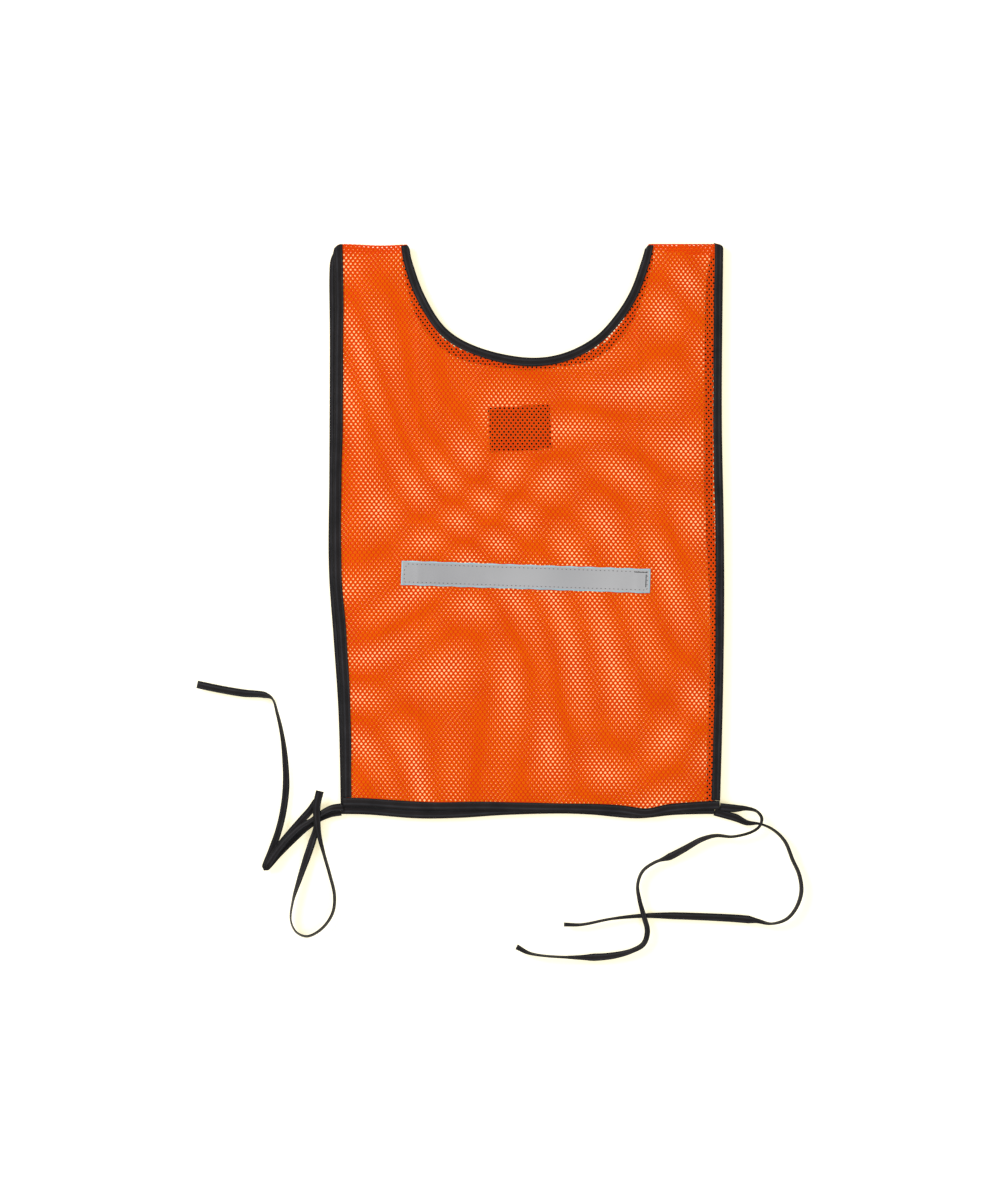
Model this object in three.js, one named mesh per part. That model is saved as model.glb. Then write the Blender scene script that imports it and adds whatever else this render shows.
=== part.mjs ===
// High visibility vest: a pull-over mesh tabard with bound edges and two pairs of hem ties,
// laid flat with its front up. Millimetres, +Z up, +X to the right of someone looking at the
// front, +Y towards the neck. The origin is on the surface that the vest lies on, under the
// middle of the vest without its ties.
import * as THREE from "three";

// Panels, measured outside the bindings: the front's width at the shoulders and the back's length
const width = 400;
const length = 592;
const back_narrower = 4;
const front_taper = 11; // how much narrower the front is at its hem
const back_taper = 10;
const front_shorter = 5;
const fabric_thickness = 0.5;

// How the two layers lie: the sideways place of the middle of each
const shoulder_centre = 3.5;
const front_waist_centre = 3.5;
const back_waist_centre = -5.5;
const front_hem_centre = 5.5;
const back_hem_centre = 1.5;
const shoulder_lead = 3; // straight below the fold, so that the bindings end square to it
const shoulder_drop = 40; // below the lead the back layer drifts sideways, down to here
const waist_height = 0;

// Neck opening
const neck_half_width = 121.5;
const front_neck_depth = 120;
const back_neck_depth = 125;
const front_neck_power = 2; // 2 is an ellipse
const back_neck_power = 2.45; // above 2 the curve is squarer
const neck_steps = 24;

// Binding: tape folded round the edge of a panel
const binding_width = 9;
const binding_wall = 0.4;

// Gaps between neighbours
const clearance = 0.3;
const layer_gap = 0.3;

// Reflective strips
const strip_length = 257;
const strip_height = 25;
const strip_thickness = 0.4;
const strip_shift = -0.5; // sideways
const strip_drop = 345; // from the shoulder fold to its middle
const strip_turn = -1.93; // degrees

// Neck label, sewn inside the back
const label_width = 64;
const label_height = 46;
const label_thickness = 0.3;
const label_shift = -6.5; // sideways
const label_drop = 66.5; // from the bottom of the back neckline to its middle
const label_turn = 3; // degrees

// Stitching and the turned-in shoulder seams
const thread_width = 0.6;
const thread_thickness = 0.3;
const strip_stitch_inset = 3;
const label_stitch_inset = 2;
const seam_allowance = 11;

// Ties: the hem tape runs on past the corners
const tie_width = 8.6;
const tie_thickness = 1.2;
const tie_inset = 0.2; // from the top of the hem binding to the upper edge of the tie at its start
const tie_sides = 8;
const tie_lead = 3; // straight out of the hem before the route starts
const steep = 0.5; // a route whose level part is shorter than this is at the tip of a fold

// Levels that follow from the sizes above
const binding_thickness = fabric_thickness + 2 * (clearance + binding_wall);
const edge_inset = binding_wall + clearance; // from a binding's outer edge to the panel's cut edge
const back_width = width - back_narrower;
const front_hem_width = width - front_taper;
const back_hem_width = back_width - back_taper;
const top = length / 2;
const front_hem = front_shorter - top;
const back_base = 0;
const front_base = back_base + binding_thickness + layer_gap;

const layers = {
  front: {
    base: front_base,
    hem: front_hem,
    neck_depth: front_neck_depth,
    neck_power: front_neck_power,
    stations: [
      { y: top, centre: shoulder_centre, half: width / 2 },
      { y: waist_height, centre: front_waist_centre, half: width / 2 },
      { y: front_hem, centre: front_hem_centre, half: front_hem_width / 2 },
    ],
  },
  back: {
    base: back_base,
    hem: -top,
    neck_depth: back_neck_depth,
    neck_power: back_neck_power,
    stations: [
      { y: top, centre: shoulder_centre, half: width / 2 },
      { y: top - shoulder_lead, centre: shoulder_centre, half: width / 2 },
      { y: top - shoulder_drop, centre: back_waist_centre, half: back_width / 2 },
      { y: waist_height, centre: back_waist_centre, half: back_width / 2 },
      { y: -top, centre: back_hem_centre, half: back_hem_width / 2 },
    ],
  },
};

const finishes = {
  mesh: { color: 0xff5a00, roughness: 0.75, metalness: 0 },
  binding: { color: 0x1c1c1f, roughness: 0.85, metalness: 0 },
  reflective: { color: 0xb9bcc0, roughness: 0.35, metalness: 0.3 },
  label: { color: 0x0b0b0d, roughness: 0.6, metalness: 0 },
  thread: { color: 0x6d7075, roughness: 0.8, metalness: 0 },
};

const vest = new THREE.Group();

function add(name, geometry, finish) {
  const piece = new THREE.Mesh(geometry, new THREE.MeshStandardMaterial(finishes[finish]));
  piece.name = name;
  vest.add(piece);
  return piece;
}

// The x of a layer's outer edge at height y; side is -1 for the left and 1 for the right
function edgeX(layer, side, y) {
  const { stations } = layer;
  const below = Math.max(1, stations.findIndex((station) => station.y <= y));
  const [a, b] = [stations[below - 1], stations[below]];
  const share = (a.y - y) / (a.y - b.y);
  const centre = THREE.MathUtils.lerp(a.centre, b.centre, share);
  const half = THREE.MathUtils.lerp(a.half, b.half, share);
  return centre + side * half;
}

// The neckline from right to left, offset outwards into the fabric
function neckline(layer, offset) {
  const points = [];
  for (let step = 0; step <= neck_steps; step += 1) {
    const angle = (Math.PI * step) / neck_steps;
    const across = Math.cos(angle);
    const down = Math.sin(angle);
    const power = 2 / layer.neck_power;
    const x = Math.sign(across) * Math.abs(across) ** power * (neck_half_width + offset);
    const y = Math.abs(down) ** power * (layer.neck_depth + offset);
    points.push(new THREE.Vector2(shoulder_centre + x, top - (step % neck_steps ? y : 0)));
  }
  return points;
}

// A curve that is sampled at its own points, so that a sweep has one step between two of them.
// The section's y stays level all the way, also where the tape folds back over itself.
class LevelCurve extends THREE.CatmullRomCurve3 {
  getPointAt(u, target) {
    return this.getPoint(u, target);
  }

  getTangentAt(u, target) {
    return this.getTangent(u, target);
  }

  computeFrenetFrames(segments) {
    const frames = { tangents: [], normals: [], binormals: [] };
    let across = new THREE.Vector3();
    for (let step = 0; step <= segments; step += 1) {
      const tangent = this.getTangentAt(step / segments);
      const level = new THREE.Vector3(-tangent.y, tangent.x, 0);
      if (level.length() > steep) across = level.multiplyScalar(across.dot(level) < 0 ? -1 : 1);
      const normal = new THREE.Vector3().crossVectors(across, tangent).normalize();
      frames.tangents.push(tangent);
      frames.normals.push(normal);
      frames.binormals.push(new THREE.Vector3().crossVectors(tangent, normal));
    }
    return frames;
  }
}

// On a level path a section's x runs down and its y runs to the left of the path
function sweep(section, points) {
  const route = new LevelCurve(points);
  const steps = points.length - 1;
  return new THREE.ExtrudeGeometry(section, { steps, extrudePath: route, bevelEnabled: false });
}

// Folded tape: a U that opens to the left of its path, with its fold on the path
function foldedTape() {
  const half = binding_thickness / 2;
  const inner = half - binding_wall;
  return new THREE.Shape([
    new THREE.Vector2(-half, 0),
    new THREE.Vector2(half, 0),
    new THREE.Vector2(half, binding_width),
    new THREE.Vector2(inner, binding_width),
    new THREE.Vector2(inner, binding_wall),
    new THREE.Vector2(-inner, binding_wall),
    new THREE.Vector2(-inner, binding_width),
    new THREE.Vector2(-half, binding_width),
  ]);
}

function addBinding(name, layer, points) {
  const z = layer.base + binding_thickness / 2;
  const path = points.map((point) => new THREE.Vector3(point.x, point.y, z));
  add(name, sweep(foldedTape(), path), "binding");
}

function addPanel(name, layer) {
  const hem = layer.hem + edge_inset;
  const side = (which) =>
    layer.stations.map((station) => {
      const y = Math.max(station.y, hem);
      return new THREE.Vector2(edgeX(layer, which, y) - which * edge_inset, y);
    });
  const outline = [...side(1).reverse(), ...neckline(layer, edge_inset), ...side(-1)];
  const geometry = new THREE.ExtrudeGeometry(new THREE.Shape(outline), {
    depth: fabric_thickness,
    bevelEnabled: false,
  });
  geometry.translate(0, 0, layer.base + edge_inset);
  add(name, geometry, "mesh");
}

function addSideBinding(name, layer, side) {
  const start = layer.hem + binding_width + clearance;
  const heights = layer.stations.map((station) => Math.max(station.y, start));
  const points = heights.map((y) => new THREE.Vector2(edgeX(layer, side, y), y));
  addBinding(name, layer, side > 0 ? points.reverse() : points);
}

function addHemBinding(name, layer) {
  const left = edgeX(layer, -1, layer.hem);
  const right = edgeX(layer, 1, layer.hem);
  const ends = [left, (left + right) / 2, right];
  addBinding(name, layer, ends.map((x) => new THREE.Vector2(x, layer.hem)));
}

function rectangle(width, height) {
  const [x, y] = [width / 2, height / 2];
  const corners = [[-x, -y], [x, -y], [x, y], [-x, y]];
  return corners.map(([across, up]) => new THREE.Vector2(across, up));
}

// A flat rectangle, lying with its middle at a place and turned a little
function addPatch(name, size, thickness, place, finish) {
  const shape = new THREE.Shape(rectangle(...size));
  const geometry = new THREE.ExtrudeGeometry(shape, { depth: thickness, bevelEnabled: false });
  const patch = add(name, geometry, finish);
  patch.position.set(...place.middle, place.z);
  patch.rotation.z = THREE.MathUtils.degToRad(place.turn);
}

// One line of thread round a patch, inset from its edge
function addStitching(name, size, inset, place) {
  const [width, height] = size.map((length) => length - 2 * inset);
  const shape = new THREE.Shape(rectangle(width, height));
  const hole = rectangle(width - 2 * thread_width, height - 2 * thread_width).reverse();
  shape.holes.push(new THREE.Path(hole));
  const depth = thread_thickness;
  const geometry = new THREE.ExtrudeGeometry(shape, { depth, bevelEnabled: false });
  const thread = add(name, geometry, "thread");
  thread.position.set(...place.middle, place.z);
  thread.rotation.z = THREE.MathUtils.degToRad(place.turn);
}

// The seam allowance of one shoulder, turned in under the front panel
function addShoulderSeam(name, side) {
  const inner = neck_half_width + binding_width + clearance;
  const outer = width / 2 - binding_width - clearance;
  const middle = [shoulder_centre + (side * (inner + outer)) / 2, top - seam_allowance / 2];
  const z = layers.front.base + edge_inset - clearance - fabric_thickness;
  const size = [outer - inner, seam_allowance];
  addPatch(name, size, fabric_thickness, { middle, z, turn: 0 }, "mesh");
}

// Levels of a tie: z of the tape's middle when it lies on the surface, and above other tapes
const rest = tie_thickness / 2;
const second = rest + tie_thickness + clearance;
const third = second + tie_thickness + clearance;
const fourth = third + tie_thickness + clearance;
const turn = (tie_thickness + clearance) / 2; // to the middle of a fold between two levels

// Routes of the ties: x and y from the front hem's corner on that side, and z
const tie_routes = {
  front_left_tie: [
    [-13, 3, third],
    [-33, -9, third],
    [-44, -16, third],
    [-55, -26, fourth],
    [-67, -40, fourth],
    [-78, -56, fourth - turn],
    [-67, -38, third],
    [-55, -23, third],
    [-42, -8, second],
    [-34, 1, rest + turn / 2],
    [-27, 11, rest + turn],
    [-28, -1, second],
    [-28, -17, second],
    [-32, -31, rest],
    [-38, -49, rest],
    [-45, -70, rest],
    [-52, -93, rest],
    [-54, -113, rest],
    [-48, -125, rest],
    [-37, -129, rest],
    [-22, -121, rest],
    [-11, -105, rest],
    [-9, -87, rest],
    [-14, -65, rest],
    [-20, -44, rest],
    [-25, -24, third],
    [-27, -8, fourth],
    [-27, 7, fourth],
    [-24, 21, third],
  ],
  back_left_tie: [
    [-13, -3, rest],
    [-25, -8, rest],
    [-39, -18, rest],
    [-53, -31, rest],
    [-67, -45, rest],
    [-80, -58, rest + turn],
    [-74, -41, second],
    [-67, -21, second],
    [-62, 0, rest],
    [-59, 26, rest],
    [-60, 55, rest],
    [-63, 79, rest],
    [-68, 101, rest],
    [-73, 116, rest],
    [-81, 120, rest],
    [-103, 122, rest],
    [-127, 126, rest],
    [-151, 131, rest],
  ],
  front_right_tie: [
    [15, 3, second],
    [27, 3, second],
    [38, 0, second],
    [43, -7, second],
    [41, -15, second],
    [33, -21, second],
    [13, -26, second],
    [-4, -25, rest],
    [-19, -29, rest],
    [-37, -39, rest],
    [-52, -47, rest],
    [-68, -53, rest],
    [-80, -62, rest],
    [-85, -76, rest],
    [-83, -92, second],
    [-79, -107, second],
    [-75, -124, second],
    [-79, -137, rest],
    [-91, -144, rest],
    [-110, -149, rest],
    [-138, -151, rest],
    [-195, -147, rest],
    [-210, -140, rest],
  ],
  back_right_tie: [
    [7, -4, rest],
    [17, -7, rest],
    [28, -12, rest],
    [41, -13, rest],
    [55, -19, rest],
    [67, -31, rest],
    [75, -50, rest],
    [82, -66, rest],
    [84, -83, rest],
    [79, -99, rest],
    [69, -111, rest],
    [53, -116, rest],
    [38, -113, rest],
    [20, -111, rest],
    [-48, -108, rest],
    [-80, -108, rest],
    [-112, -111, rest],
    [-143, -117, rest],
    [-161, -117, rest],
  ],
};

// A flat tape with rounded edges; its x is the thickness and its y the width
function tieSection() {
  const section = new THREE.Shape();
  for (let side = 0; side < tie_sides; side += 1) {
    const angle = (2 * Math.PI * (side + 0.5)) / tie_sides;
    const corner = Math.cos(Math.PI / tie_sides);
    const x = ((Math.cos(angle) / corner) * tie_thickness) / 2;
    const y = ((Math.sin(angle) / corner) * tie_width) / 2;
    if (side) section.lineTo(x, y);
    else section.moveTo(x, y);
  }
  return section;
}

// The tape leaves the hem straight, then takes its route
function addTie(name, layer, side) {
  const start = edgeX(layer, side, layer.hem) + side * clearance;
  const y = layer.hem + binding_width - tie_inset - tie_width / 2;
  const z = layer.base + binding_thickness / 2;
  const lead = [0, tie_lead].map((out) => new THREE.Vector3(start + side * out, y, z));
  const corner = new THREE.Vector3(edgeX(layers.front, side, front_hem), front_hem, 0);
  const route = tie_routes[name].map((point) => new THREE.Vector3(...point).add(corner));
  add(name, sweep(tieSection(), [...lead, ...route]), "binding");
}

// A band and its thread, each at its own height
function addReflectiveStrip(layerName, stripZ, threadZ) {
  const size = [strip_length, strip_height];
  const place = { middle: [strip_shift, top - strip_drop], turn: strip_turn };
  const strip = `${layerName}_reflective_strip`;
  addPatch(strip, size, strip_thickness, { ...place, z: stripZ }, "reflective");
  addStitching(`${layerName}_strip_stitching`, size, strip_stitch_inset, { ...place, z: threadZ });
}

function addLabel(z) {
  const size = [label_width, label_height];
  const place = { middle: [label_shift, top - back_neck_depth - label_drop], turn: label_turn };
  addPatch("neck_label", size, label_thickness, { ...place, z }, "label");
  const threadZ = z + label_thickness + clearance;
  addStitching("label_stitching", size, label_stitch_inset, { ...place, z: threadZ });
}

for (const [name, layer] of Object.entries(layers)) {
  addPanel(`${name}_panel`, layer);
  addBinding(`${name}_neck_binding`, layer, neckline(layer, 0));
  addSideBinding(`${name}_left_side_binding`, layer, -1);
  addSideBinding(`${name}_right_side_binding`, layer, 1);
  addHemBinding(`${name}_hem_binding`, layer);
  addTie(`${name}_left_tie`, layer, -1);
  addTie(`${name}_right_tie`, layer, 1);
}

// The front's band is on top of its panel; the back's is underneath, with its thread inside
const front_strip_z = front_base + edge_inset + fabric_thickness + clearance;
const inside_z = back_base + edge_inset + fabric_thickness + clearance;
const outside_z = back_base + edge_inset - clearance - strip_thickness;
addReflectiveStrip("front", front_strip_z, front_strip_z + strip_thickness + clearance);
addReflectiveStrip("back", outside_z, inside_z);
addLabel(inside_z);

addShoulderSeam("left_shoulder_seam", -1);
addShoulderSeam("right_shoulder_seam", 1);

export default vest;
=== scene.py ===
"""The looks of the high visibility vest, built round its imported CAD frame. Metres, +Z up."""
import math

import bpy
import numpy as np
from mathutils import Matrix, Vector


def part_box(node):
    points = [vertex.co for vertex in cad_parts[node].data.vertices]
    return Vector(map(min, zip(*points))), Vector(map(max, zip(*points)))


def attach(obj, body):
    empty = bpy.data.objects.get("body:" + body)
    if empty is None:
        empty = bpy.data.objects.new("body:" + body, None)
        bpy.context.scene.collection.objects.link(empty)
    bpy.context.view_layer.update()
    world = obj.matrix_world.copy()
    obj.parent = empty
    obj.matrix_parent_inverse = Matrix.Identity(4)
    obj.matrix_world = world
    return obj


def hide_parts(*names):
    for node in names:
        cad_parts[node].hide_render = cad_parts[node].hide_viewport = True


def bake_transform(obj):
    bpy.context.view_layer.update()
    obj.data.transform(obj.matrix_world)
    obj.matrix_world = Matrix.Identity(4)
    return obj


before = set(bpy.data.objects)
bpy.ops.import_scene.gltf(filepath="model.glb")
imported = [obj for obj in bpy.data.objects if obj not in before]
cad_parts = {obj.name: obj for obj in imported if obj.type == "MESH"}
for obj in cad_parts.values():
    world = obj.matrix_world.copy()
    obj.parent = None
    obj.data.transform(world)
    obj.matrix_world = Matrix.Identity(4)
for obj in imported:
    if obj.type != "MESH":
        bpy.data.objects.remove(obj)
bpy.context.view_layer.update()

mm = 0.001

# Picture: what the camera sees at the height of the vest
view_centre = (-27.1 * mm, -72.8 * mm)
view_height = 1240 * mm
camera_lens = 100
camera_sensor = 36

# Levels and corners that come from the frame
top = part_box("front_panel")[1].y
back_z = sum(corner.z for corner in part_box("back_panel")) / 2
front_z = sum(corner.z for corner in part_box("front_panel")) / 2
back_hem_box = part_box("back_hem_binding")
front_hem_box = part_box("front_hem_binding")
binding_thickness = back_hem_box[1].z - back_hem_box[0].z
binding_width = front_hem_box[1].y - front_hem_box[0].y
strip_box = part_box("front_reflective_strip")
label_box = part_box("neck_label")

# Shoulder fold: the front's fabric turns down to the back's level round a line by the hinge
fold_z = (back_z + front_z) / 2
fold_radius = (front_z - back_z) / 2
fold_reach = fold_radius + binding_thickness / 2
fold_y = top - fold_reach
fold_length = math.pi * fold_radius

# Ties: levels and routes as in the CAD source, from the front hem's corner on that side
rest = 0.6 * mm
second = 2.1 * mm
third = 3.6 * mm
fourth = 5.1 * mm
turn = 0.75 * mm
tie_thickness = 0.9 * mm
tie_steps = 8

tie_routes = {
    "front_left_tie": [
        (-13, 3, third),
        (-33, -9, third),
        (-44, -16, third),
        (-55, -26, fourth),
        (-67, -40, fourth),
        (-78, -56, fourth - turn),
        (-67, -38, third),
        (-55, -23, third),
        (-42, -8, second),
        (-34, 1, rest + turn / 2),
        (-27, 11, rest + turn),
        (-28, -1, second),
        (-28, -17, second),
        (-32, -31, rest),
        (-38, -49, rest),
        (-45, -70, rest),
        (-52, -93, rest),
        (-54, -113, rest),
        (-48, -125, rest),
        (-37, -129, rest),
        (-22, -121, rest),
        (-11, -105, rest),
        (-9, -87, rest),
        (-14, -65, rest),
        (-20, -44, rest),
        (-25, -24, third),
        (-27, -8, fourth),
        (-27, 7, fourth),
        (-24, 21, third),
    ],
    "back_left_tie": [
        (-13, -3, rest),
        (-25, -8, rest),
        (-39, -18, rest),
        (-53, -31, rest),
        (-67, -45, rest),
        (-80, -58, rest + turn),
        (-74, -41, second),
        (-67, -21, second),
        (-62, 0, rest),
        (-59, 26, rest),
        (-60, 55, rest),
        (-63, 79, rest),
        (-68, 101, rest),
        (-73, 116, rest),
        (-81, 120, rest),
        (-103, 122, rest),
        (-127, 126, rest),
        (-151, 131, rest),
    ],
    "front_right_tie": [
        (15, 3, second),
        (27, 3, second),
        (38, 0, second),
        (43, -7, second),
        (41, -15, second),
        (33, -21, second),
        (13, -26, second),
        (-4, -25, rest),
        (-19, -29, rest),
        (-37, -39, rest),
        (-52, -47, rest),
        (-68, -53, rest),
        (-80, -62, rest),
        (-85, -76, rest),
        (-83, -92, second),
        (-79, -107, second),
        (-75, -124, second),
        (-79, -137, rest),
        (-91, -144, rest),
        (-110, -149, rest),
        (-138, -151, rest),
        (-195, -147, rest),
        (-210, -140, rest),
    ],
    "back_right_tie": [
        (7, -4, rest),
        (17, -7, rest),
        (28, -12, rest),
        (41, -13, rest),
        (55, -19, rest),
        (67, -31, rest),
        (75, -50, rest),
        (82, -66, rest),
        (84, -83, rest),
        (79, -99, rest),
        (69, -111, rest),
        (53, -116, rest),
        (38, -113, rest),
        (20, -111, rest),
        (-48, -108, rest),
        (-80, -108, rest),
        (-112, -111, rest),
        (-143, -117, rest),
        (-161, -117, rest),
    ],
}

# How each tape turns on its way: the route's point (counted from 0, with the start at the hem
# as -1), the width seen from above, and the height the tape stands, in mm. Flat is 8.7 by 0.9.
tie_turns = {
    "front_left_tie": [
        (-1, 8.7, 0.9), (0, 7, 3), (1, 4.8, 1.5), (2, 5.8, 2.6), (4, 6.5, 1.4), (5, 8.5, 0.9),
        (9, 8.2, 0.9), (10, 7, 0.9), (12, 6.5, 0.9), (13, 8.3, 0.9), (14, 8, 1.5), (15, 6, 3.5),
        (16, 2.8, 5.5), (17, 2.2, 6), (19, 3.2, 5.5), (24, 3.2, 5), (25, 5.5, 2), (26, 8, 0.9),
        (28, 8.7, 0.9),
    ],
    "back_left_tie": [
        (-1, 8.7, 0.9), (0, 7, 1.2), (4, 6.5, 1.2), (5, 8.2, 0.9), (7, 7.4, 1.4), (9, 7.4, 2.5),
        (10, 6.2, 4), (11, 4.2, 5.5), (12, 3, 5.5), (13, 1.7, 5), (14, 7, 1.6), (15, 8.4, 0.9),
        (17, 8.4, 0.9),
    ],
    "front_right_tie": [
        (-1, 8.7, 0.9), (0, 8.6, 1.2), (1, 5, 4), (2, 3, 5), (3, 3.3, 4), (4, 2.6, 4), (6, 2.6, 5),
        (7, 3.6, 5), (8, 5.2, 5), (9, 6.8, 4), (10, 7.8, 2), (10.6, 3, 5), (13, 3.1, 5),
        (14, 4.6, 3), (15, 5.6, 2), (16, 6, 3), (18, 5.2, 4), (19, 7.2, 2.5), (19.8, 8.2, 1.2),
        (20.4, 2.4, 4.5), (20.8, 2.2, 5), (21.3, 4, 4), (22, 6, 2),
    ],
    "back_right_tie": [
        (-1, 8.7, 0.9), (1, 8.5, 1.2), (2, 6, 2.5), (3, 2.6, 1.5), (4, 3, 4.5), (5, 3.6, 5),
        (8, 4.1, 5), (9, 3.4, 5.2), (10, 3, 5.5), (11, 2.2, 5.5), (12, 5, 4), (12.5, 8.5, 1.4),
        (13, 8.6, 0.9), (14, 7.8, 1.2), (15, 5, 1.4), (16, 2.5, 4), (17, 2.9, 4), (18, 4.6, 2),
    ],
}

# Folded tape across its width, in halves of its width and thickness: the left edge is the fold
# and the right edge is open
tape_section = [
    (-1, 0), (-0.94, 0.75), (-0.8, 1), (0.9, 1), (1, 0.7), (1, 0.15),
    (0.75, 0), (1, -0.15), (1, -0.7), (0.9, -1), (-0.8, -1), (-0.94, -0.75),
]

# Outer edges of the layers as they lie, in mm, from the hem up and from left to right
front_left = [(-189, -291), (-190.5, -190), (-194, -114), (-199.5, -50), (-200, 5), (-198, 150),
              (-198, 262), (-199, 297)]
front_right = [(200, -290), (203, -180), (204.5, -73), (204, 5), (202, 120), (203.5, 296)]
back_left = [(-191.5, -296), (-194, -190), (-199, -114), (-204, -40), (-203.5, 60), (-203, 200),
             (-203.5, 262), (-202.5, 280), (-199, 297)]
back_right = [(194.5, -296), (197, -200), (199.5, -93), (196.5, -40), (194, 10), (193, 92),
              (193.5, 200), (195.5, 262), (203, 296)]
front_hem = [(-189, -286), (-165, -286.5), (-110, -290), (-40, -290), (15, -291.5), (65, -292),
             (98, -293.5), (125, -297), (149, -292.5), (185, -289.5), (200, -289)]
back_hem = [(-191.5, -294), (-165, -294.5), (-112, -298.5), (-70, -298), (-23, -295), (35, -293.5),
            (66, -294.5), (115, -298.5), (152, -295), (185, -294), (194.5, -294)]
front_neck = [(-120.5, 297), (-118, 279), (-104.5, 241), (-82, 207), (-50, 188.5), (3, 177.5),
              (38, 182), (71, 199), (93.5, 223.5), (108, 247.5), (119, 279), (123, 297)]
back_neck = [(-120.5, 297), (-118, 270), (-101, 216), (-77.5, 191), (-51.5, 180.5), (1, 174),
             (29.5, 176.5), (66, 184), (92.5, 204.5), (108.5, 235), (120.5, 274), (124, 297)]

# Knitted mesh
hole_pitch = 4.65 * mm
hole_row = 3.05 * mm
hole_radius = 1.21 * mm


def mix(a, b, share):
    return a + (b - a) * share


def curve_through(points, steps):
    """Centripetal Catmull-Rom curve through rows of numbers, the first of which are a place."""
    rows = np.array(points, float)
    rows = np.vstack([2 * rows[0] - rows[1], rows, 2 * rows[-1] - rows[-2]])
    gaps = np.linalg.norm(np.diff(rows[:, :3], axis=0), axis=1)
    knots = np.concatenate([[0], np.cumsum(np.sqrt(gaps))])
    made = []
    for i in range(1, len(rows) - 2):
        a, b, c, d = rows[i - 1:i + 3]
        ka, kb, kc, kd = knots[i - 1:i + 3]
        for k in np.linspace(kb, kc, steps, endpoint=False):
            ab = mix(a, b, (k - ka) / (kb - ka))
            bc = mix(b, c, (k - kb) / (kc - kb))
            cd = mix(c, d, (k - kc) / (kd - kc))
            abc = mix(ab, bc, (k - ka) / (kc - ka))
            bcd = mix(bc, cd, (k - kb) / (kd - kb))
            made.append(mix(abc, bcd, (k - kb) / (kc - kb)))
    made.append(rows[-2])
    return np.array(made)


def unit(vectors):
    return vectors / np.linalg.norm(vectors, axis=-1, keepdims=True)


def along(path):
    """Unit tangents of a path."""
    return unit(np.gradient(path, axis=0))


def inward(path):
    """Unit vectors to the left of a flat path."""
    tangents = along(path)
    return np.stack([-tangents[:, 1], tangents[:, 0]], axis=-1)


def add_mesh(name, points, faces, material):
    data = bpy.data.meshes.new(name)
    data.from_pydata(np.asarray(points).tolist(), [], [list(map(int, face)) for face in faces])
    data.validate()
    data.shade_smooth()
    data.materials.append(material)
    piece = bpy.data.objects.new(name, data)
    bpy.context.collection.objects.link(piece)
    return piece


def mark_across(piece, shares):
    """Tells each point of a tape how far across its width it is, from 0 to 1."""
    values = np.ascontiguousarray(shares, float).ravel()
    piece.data.attributes.new("across", "FLOAT", "POINT").data.foreach_set("value", values)


def ring_faces(rings, around):
    """Quads between rings of points, and the two end caps."""
    faces = []
    for i in range(rings - 1):
        for j in range(around):
            k = (j + 1) % around
            faces.append((i * around + j, i * around + k, (i + 1) * around + k, (i + 1) * around + j))
    faces.append(tuple(reversed(range(around))))
    faces.append(tuple(range((rings - 1) * around, rings * around)))
    return faces


# ---------------------------------------------------------------- materials


def shader(name):
    """A new material, its node tree and its main shader."""
    material = bpy.data.materials.new(name)
    material.use_nodes = True
    return material, material.node_tree, material.node_tree.nodes["Principled BSDF"]


def add_node(tree, kind, **inputs):
    made = tree.nodes.new("ShaderNode" + kind)
    for key, value in inputs.items():
        made.inputs[key.replace("_", " ")].default_value = value
    return made


def place_of(tree):
    """The point's own place in its piece, in metres."""
    return add_node(tree, "TexCoord").outputs["Object"]


def noise(tree, scale, detail=2.0, stretch=(1, 1, 1)):
    mapping = add_node(tree, "Mapping")
    mapping.inputs["Scale"].default_value = stretch
    tree.links.new(place_of(tree), mapping.inputs["Vector"])
    texture = add_node(tree, "TexNoise", Scale=scale, Detail=detail)
    tree.links.new(mapping.outputs["Vector"], texture.inputs["Vector"])
    return texture.outputs["Fac"]


def ramp(tree, factor, stops):
    made = add_node(tree, "ValToRGB")
    elements = made.color_ramp.elements
    while len(elements) < len(stops):
        elements.new(0.5)
    for element, (place, colour) in zip(elements, stops):
        element.position = place
        element.color = (*colour, 1)
    tree.links.new(factor, made.inputs["Fac"])
    return made.outputs["Color"]


def weave(tree, pitch, turn_degrees):
    """Fine ribs of a woven tape, crossed by a second set."""
    waves = []
    for degrees in (turn_degrees, turn_degrees + 90):
        mapping = add_node(tree, "Mapping")
        mapping.inputs["Rotation"].default_value[2] = math.radians(degrees)
        tree.links.new(place_of(tree), mapping.inputs["Vector"])
        # A wave texture has one band in 1 / (20 scale / tau) of its coordinate
        wave = add_node(tree, "TexWave", Scale=math.tau / 20 / pitch, Distortion=0.6)
        tree.links.new(mapping.outputs["Vector"], wave.inputs["Vector"])
        waves.append(wave.outputs["Fac"])
    product = add_node(tree, "Math")
    product.operation = "MULTIPLY"
    tree.links.new(waves[0], product.inputs[0])
    tree.links.new(waves[1], product.inputs[1])
    return product.outputs[0]


def bump(tree, bsdf, height, distance, strength=1.0):
    made = add_node(tree, "Bump", Distance=distance, Strength=strength)
    tree.links.new(height, made.inputs["Height"])
    tree.links.new(made.outputs["Normal"], bsdf.inputs["Normal"])


def calculate(tree, operation, *values):
    made = add_node(tree, "Math")
    made.operation = operation
    for value, socket in zip(values, made.inputs):
        if isinstance(value, (int, float)):
            socket.default_value = value
        else:
            tree.links.new(value, socket)
    return made.outputs[0]


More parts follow.
